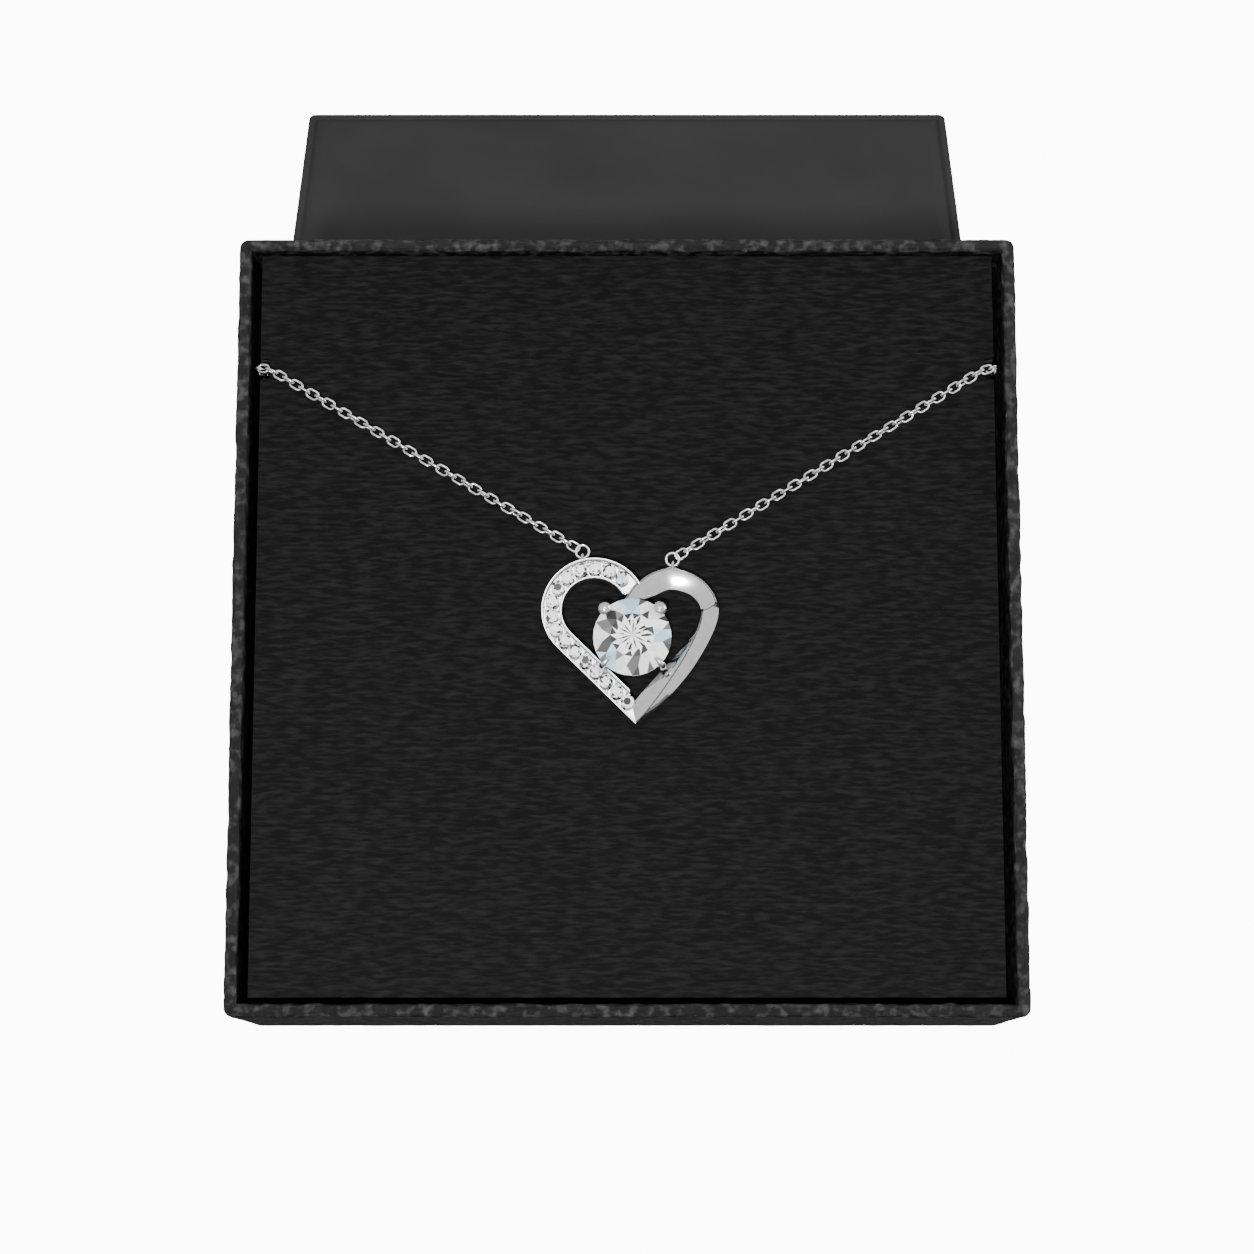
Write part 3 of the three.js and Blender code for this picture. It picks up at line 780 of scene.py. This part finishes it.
def pave_half():
    line = set_height(pave_line(LOBE_START, -4, 110), BAND_BACK)
    ups = [Vector((0, 0, 1))] * len(line)
    lobe = Vector((LOBE_X - LOBE_R, LOBE_Y, 0))
    band = trimmed(sweep(line, ups, pave_section(), closed=False), TIP_CUT, lobe, 42)
    parts = [band, hanging_loop(LOOP_LEFT)]
    places = pave_places()
    for a, b in zip(places, places[1:]):
        middle = (a + b) / 2
        side = Vector((a.y - b.y, b.x - a.x, 0)).normalized()
        for s in (-1, 1):
            parts.append(bead(middle + side * (s * 0.76) + Vector((0, 0, BAND_FRONT + 0.02)), 0.2))
    verts, faces = joined(parts)
    piece = make("pave_band_set", verts, faces, TRAY, SILVER)
    sharpen(piece, 35)
    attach(piece, "pendant")
    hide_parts("pave_band")


def pave_places():
    points = pave_line(LOBE_START + math.radians(20), PAVE_END, PAVE_COUNT)
    return [Vector((p.x, p.y, 0)) for p in points]


def ribbon_ridge(t):
    """Where the ridge lies across the ribbon, from -1 at the outer edge to 1 at the inner one."""
    fold, fold_length = 0.40, 0.03
    if t < fold:
        return -0.72
    turn = min(1, (t - fold) / fold_length)
    return (1 - turn) * -0.72 + turn * (0.92 - 1.75 * (t - fold) / (1 - fold))


def ribbon_section(t):
    """Two slightly rounded polished faces, parted by a fine crease."""
    swell = 1.2 + 0.15 * math.cos(2 * math.pi * (t - 0.13) / 0.65)
    half = swell * min(1, 0.55 + 4 * t, 1 - 1.2 * (t - 0.85))
    ridge = ribbon_ridge(t) * half
    edge, top, crown = 1.15, 1.72, 0.12
    inner_middle = ((half + ridge) / 2, (edge + top) / 2 + crown)
    outer_middle = ((ridge - half) / 2, (edge + top) / 2 + crown)
    return [
        (-half + 0.12, 0), (half - 0.12, 0), (half, 0.15), (half, edge - 0.1), (half - 0.05, edge),
        inner_middle, (ridge + 0.09, top), (ridge, top - 0.32), (ridge - 0.09, top),
        outer_middle, (-half + 0.05, edge), (-half, edge - 0.1), (-half, 0.15),
    ]


def ribbon_half():
    """The polished half: a ribbon that folds over itself at the shoulder."""
    controls = [
        (0.2, 46.8), (1.9, 48.4), (4.9, 49.65), (8.2, 48.4), (9.35, 45.4), (6.75, 40.4), (1.5, 34.5),
        (-0.4, 32.9),
    ]
    line = spline([Vector((x, y, BAND_BACK)) for x, y in controls], 150)
    ups = [Vector((0, 0, 1))] * len(line)
    shoulder = Vector((9.35, 45.4, 0))
    band = trimmed(sweep(line, ups, ribbon_section, closed=False), TIP_CUT, shoulder, 42)
    verts, faces = joined([band, hanging_loop(LOOP_RIGHT)])
    piece = make("polished_band_ribbon", verts, faces, TRAY, SILVER)
    sharpen(piece, 22)
    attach(piece, "pendant")
    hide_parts("polished_band")


def round_claw(t):
    return circle(0.42 + 0.1 * t, 12)


def pointed_claw(t):
    return circle(0.5 if t < 0.6 else 0.5 - 0.3 * (t - 0.6) / 0.4, 12)


def basket():
    """A base ring and four curved claws whose round tips hold the stone."""
    centre = Vector((STONE_X, STONE_Y, BAND_BACK))
    sides = 48
    ring = [centre + Vector((x, y, 0.4)) for x, y in circle(BASE_RING_RADIUS, sides)]
    parts = [sweep(ring, [Vector((0, 0, 1))] * sides, circle(BASE_RING_WIRE, 10), closed=True)]
    for k in range(4):
        angle = math.pi * (0.25 + 0.5 * k)
        out = Vector((math.cos(angle), math.sin(angle), 0))
        profile = CLAW_STEM + (ROUND_END if k < 2 else POINTED_END)
        claw = spline([centre + out * r + Vector((0, 0, z)) for r, z in profile], 20)
        tangent = Vector((-math.sin(angle), math.cos(angle), 0))
        section = round_claw if k < 2 else pointed_claw
        parts.append(sweep(claw, [tangent] * 20, section, closed=False))
        if k < 2:
            tip = centre + out * 4.4 + Vector((0, 0, 3.45))
            parts.append(bead(tip, CLAW_BEAD, flatten=0.7, rings=10, sides=18))
    verts, faces = joined(parts)
    piece = make("stone_basket_claws", verts, faces, TRAY, SILVER)
    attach(piece, "pendant")
    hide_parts("stone_basket")


# ---------- stones ----------
def brilliant(radius, sides):
    """A round brilliant: table, star, kite and girdle facets above, mains and halves below."""
    def ring(r, z, offset):
        return [
            Vector((r * math.cos(2 * math.pi * (i + offset) / sides),
                    r * math.sin(2 * math.pi * (i + offset) / sides), z))
            for i in range(sides)
        ]
    table = ring(0.56 * radius, 0.32 * radius, 0)
    star = ring(0.78 * radius, 0.21 * radius, 0.5)
    girdle = ring(radius, 0.03 * radius, 0)
    girdle_mid = ring(radius, 0.03 * radius, 0.5)
    low = ring(radius, -0.03 * radius, 0)
    low_mid = ring(radius, -0.03 * radius, 0.5)
    verts = table + star + girdle + girdle_mid + low + low_mid + [Vector((0, 0, -0.5 * radius))]
    n = sides
    faces = [tuple(range(n))]
    for i in range(n):
        j = (i + 1) % n
        before = (i - 1) % n
        faces.append((i, n + i, j))
        faces.append((i, n + before, 2 * n + i, n + i))
        faces.append((n + i, 2 * n + i, 3 * n + i))
        faces.append((n + i, 3 * n + i, 2 * n + j))
        faces.append((2 * n + i, 4 * n + i, 5 * n + i, 3 * n + i))
        faces.append((3 * n + i, 5 * n + i, 4 * n + j, 2 * n + j))
        faces.append((4 * n + i, 6 * n, 5 * n + i))
        faces.append((5 * n + i, 6 * n, 4 * n + j))
    return verts, [f[::-1] if k == 0 else f for k, f in enumerate(faces)]


def sparkle_tone(level, blue):
    return (level * (1 - 0.5 * blue), level * (1 - 0.22 * blue), level, 1)


# Painted reflections: each small stone's facets are painted dark, bright white or faintly blue, standing in
# for its sparkle.
def pave_stone_painted_sparkle(rng, reach, angle):
    roll = rng.uniform()
    if roll < 0.3:
        return sparkle_tone(rng.uniform(0.01, 0.12), 0)
    return sparkle_tone(rng.uniform(0.75, 1.0), 1 if roll < 0.34 else 0)


def centre_stone_painted_sparkle(rng, reach, angle):
    """Painted reflections: fine bright and dark rays round the middle, and pale blue patches near the edge.
    """
    ray = math.floor(angle / (math.pi / 16))
    if reach < 0.5:
        dark = ray % 2 == 1 and rng.uniform() < 0.75
        return sparkle_tone(rng.uniform(0.005, 0.05), 0) if dark else sparkle_tone(rng.uniform(0.8, 1.0), 0)
    blue = any(abs(math.remainder(angle - math.radians(d), 2 * math.pi)) < 0.36 for d in (90, 0, 225))
    if rng.uniform() < 0.26:
        return sparkle_tone(rng.uniform(0.01, 0.2), 0)
    return sparkle_tone(rng.uniform(0.7, 1.0), 1 if blue else 0)


# Paints reflections into a colour layer, one colour per face, as the stones' sparkle.
def paint_facet_sparkle(piece, centre, radius, seed, choose):
    rng = np.random.default_rng(seed)
    layer = piece.data.color_attributes.new("facet", "FLOAT_COLOR", "CORNER")
    to_tray = TRAY.inverted()
    for face in piece.data.polygons:
        spot = to_tray @ face.center - centre
        colour = choose(rng, math.hypot(spot.x, spot.y) / radius, math.atan2(spot.y, spot.x))
        for loop in face.loop_indices:
            layer.data[loop].color = colour


def split_table(verts, faces, radius, sides):
    """The table seen as its inner star of reflected facets, each its own thin wedge."""
    centre = len(verts)
    verts = verts + [Vector((0, 0, 0.32 * radius))]
    faces = faces[1:]
    inner = []
    for share in (0.22, 0.4):
        start = len(verts)
        for i in range(sides * 2):
            a = math.pi * (i + (0.5 if share > 0.3 else 0)) / sides
            verts.append(Vector((share * radius * math.cos(a), share * radius * math.sin(a), 0.32 * radius)))
        inner.append(start)
    count = sides * 2
    for i in range(count):
        j = (i + 1) % count
        faces.append((centre, inner[0] + i, inner[0] + j))
        faces.append((inner[0] + i, inner[1] + i, inner[0] + j))
        faces.append((inner[0] + j, inner[1] + i, inner[1] + j))
    for i in range(sides):
        j = (i + 1) % sides
        a = inner[1] + 2 * i
        b = inner[1] + (2 * i + 1) % count
        before = inner[1] + (2 * i - 1) % count
        faces.append((before, i, a))
        faces.append((a, i, b))
        faces.append((b, i, j))
    return verts, faces


def stone(name, node, centre, radius, sides, seed, choose):
    verts, faces = brilliant(radius, sides)
    if sides > 8:
        verts, faces = split_table(verts, faces, radius, sides)
    verts = [v + centre for v in verts]
    piece = make(name, verts, faces, TRAY, CRYSTAL, smooth=False)
    paint_facet_sparkle(piece, centre, radius, seed, choose)
    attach(piece, "pendant")
    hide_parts(node)


def stones():
    centre = Vector((STONE_X, STONE_Y, STONE_GIRDLE))
    stone("centre_stone_cut", "centre_stone", centre, STONE_R, 16, 7, centre_stone_painted_sparkle)
    for i, place in enumerate(pave_places()):
        number = f"{i + 1:02d}"
        spot = Vector((place.x, place.y, BAND_FRONT - 0.05))
        node = f"pave_stone_{number}"
        stone(f"{node}_cut", node, spot, PAVE_RADIUS, 8, 60 + i, pave_stone_painted_sparkle)


def dress_cad_nodes():
    looks = {
        "tray_board": GREYBOARD, "lid_board": GREYBOARD, "tray_base_paper": BLACK_PAPER,
        "tray_liner": BLACK_PAPER, "lid_liner": BLACK_PAPER, "clasp_pin": STEEL, "clasp_spring": STEEL,
        "clasp_body": SILVER, "clasp_lever": SILVER, "clasp_tail_ring": SILVER, "clasp_end_ring": SILVER,
    }
    for name, look in looks.items():
        piece = frame["nodes"][name]
        for slot in piece.material_slots:
            slot.material = look


# ---------- the studio ----------
def camera():
    data = bpy.data.cameras.new("camera")
    data.lens = CAMERA_LENS
    data.sensor_width = CAMERA_SENSOR
    data.shift_y = CAMERA_SHIFT_Y
    data.clip_start = 0.01
    view = bpy.data.objects.new("camera", data)
    view.location = CAMERA_PLACE
    view.rotation_euler = (math.radians(90 - CAMERA_DOWN), 0, 0)
    bpy.context.scene.collection.objects.link(view)
    bpy.context.scene.camera = view


def floor():
    look, nodes, links, base = shader("floor")
    base.inputs["Base Color"].default_value = (0.08, 0.08, 0.08, 1)
    base.inputs["Roughness"].default_value = 0.9
    # To the camera the floor is a plain white ground, and to the object it is dark cloth.
    seen = nodes.new("ShaderNodeLightPath")
    glow = nodes.new("ShaderNodeEmission")
    glow.inputs["Strength"].default_value = 12
    mix = nodes.new("ShaderNodeMixShader")
    links.new(seen.outputs["Is Camera Ray"], mix.inputs[0])
    links.new(base.outputs["BSDF"], mix.inputs[1])
    links.new(glow.outputs["Emission"], mix.inputs[2])
    links.new(mix.outputs["Shader"], nodes["Material Output"].inputs["Surface"])
    size = 3
    verts = [(-size, -size, -0.0003), (size, -size, -0.0003), (size, size, -0.0003), (-size, size, -0.0003)]
    ground = make("floor", verts, [(0, 1, 2, 3)], IDENTITY, look, smooth=False)


def area_light(name, place, target, size, power):
    data = bpy.data.lights.new(name, "AREA")
    data.shape = "RECTANGLE"
    data.size = size[0]
    data.size_y = size[1]
    data.energy = power
    lamp = bpy.data.objects.new(name, data)
    lamp.location = place
    direction = Vector(target) - Vector(place)
    lamp.rotation_euler = direction.to_track_quat("-Z", "Y").to_euler()
    bpy.context.scene.collection.objects.link(lamp)


def studio():
    world = bpy.data.worlds.new("studio")
    bpy.context.scene.world = world
    world.use_nodes = True
    back = world.node_tree.nodes["Background"]
    back.inputs["Color"].default_value = (1, 1, 1, 1)
    back.inputs["Strength"].default_value = 0.8
    target = (0, 0, 0.03)
    area_light("key", (-0.06, -0.61, 0.50), target, (0.04, 0.04), 8)
    area_light("overhead", (0.0, -0.28, 0.62), target, (0.3, 0.16), 0.7)
    area_light("side", (0.6, 0.05, 0.3), target, (0.2, 0.5), 1.5)


camera()
dress_cad_nodes()
tray_wrap()
lid_wrap()
insert_card()
foam_pad()
for label, side in (("left", -1), ("right", 1)):
    chain_side(label, side)
jump_ring("left", LOOP_LEFT)
jump_ring("right", LOOP_RIGHT)
pave_half()
ribbon_half()
basket()
stones()
floor()
studio()
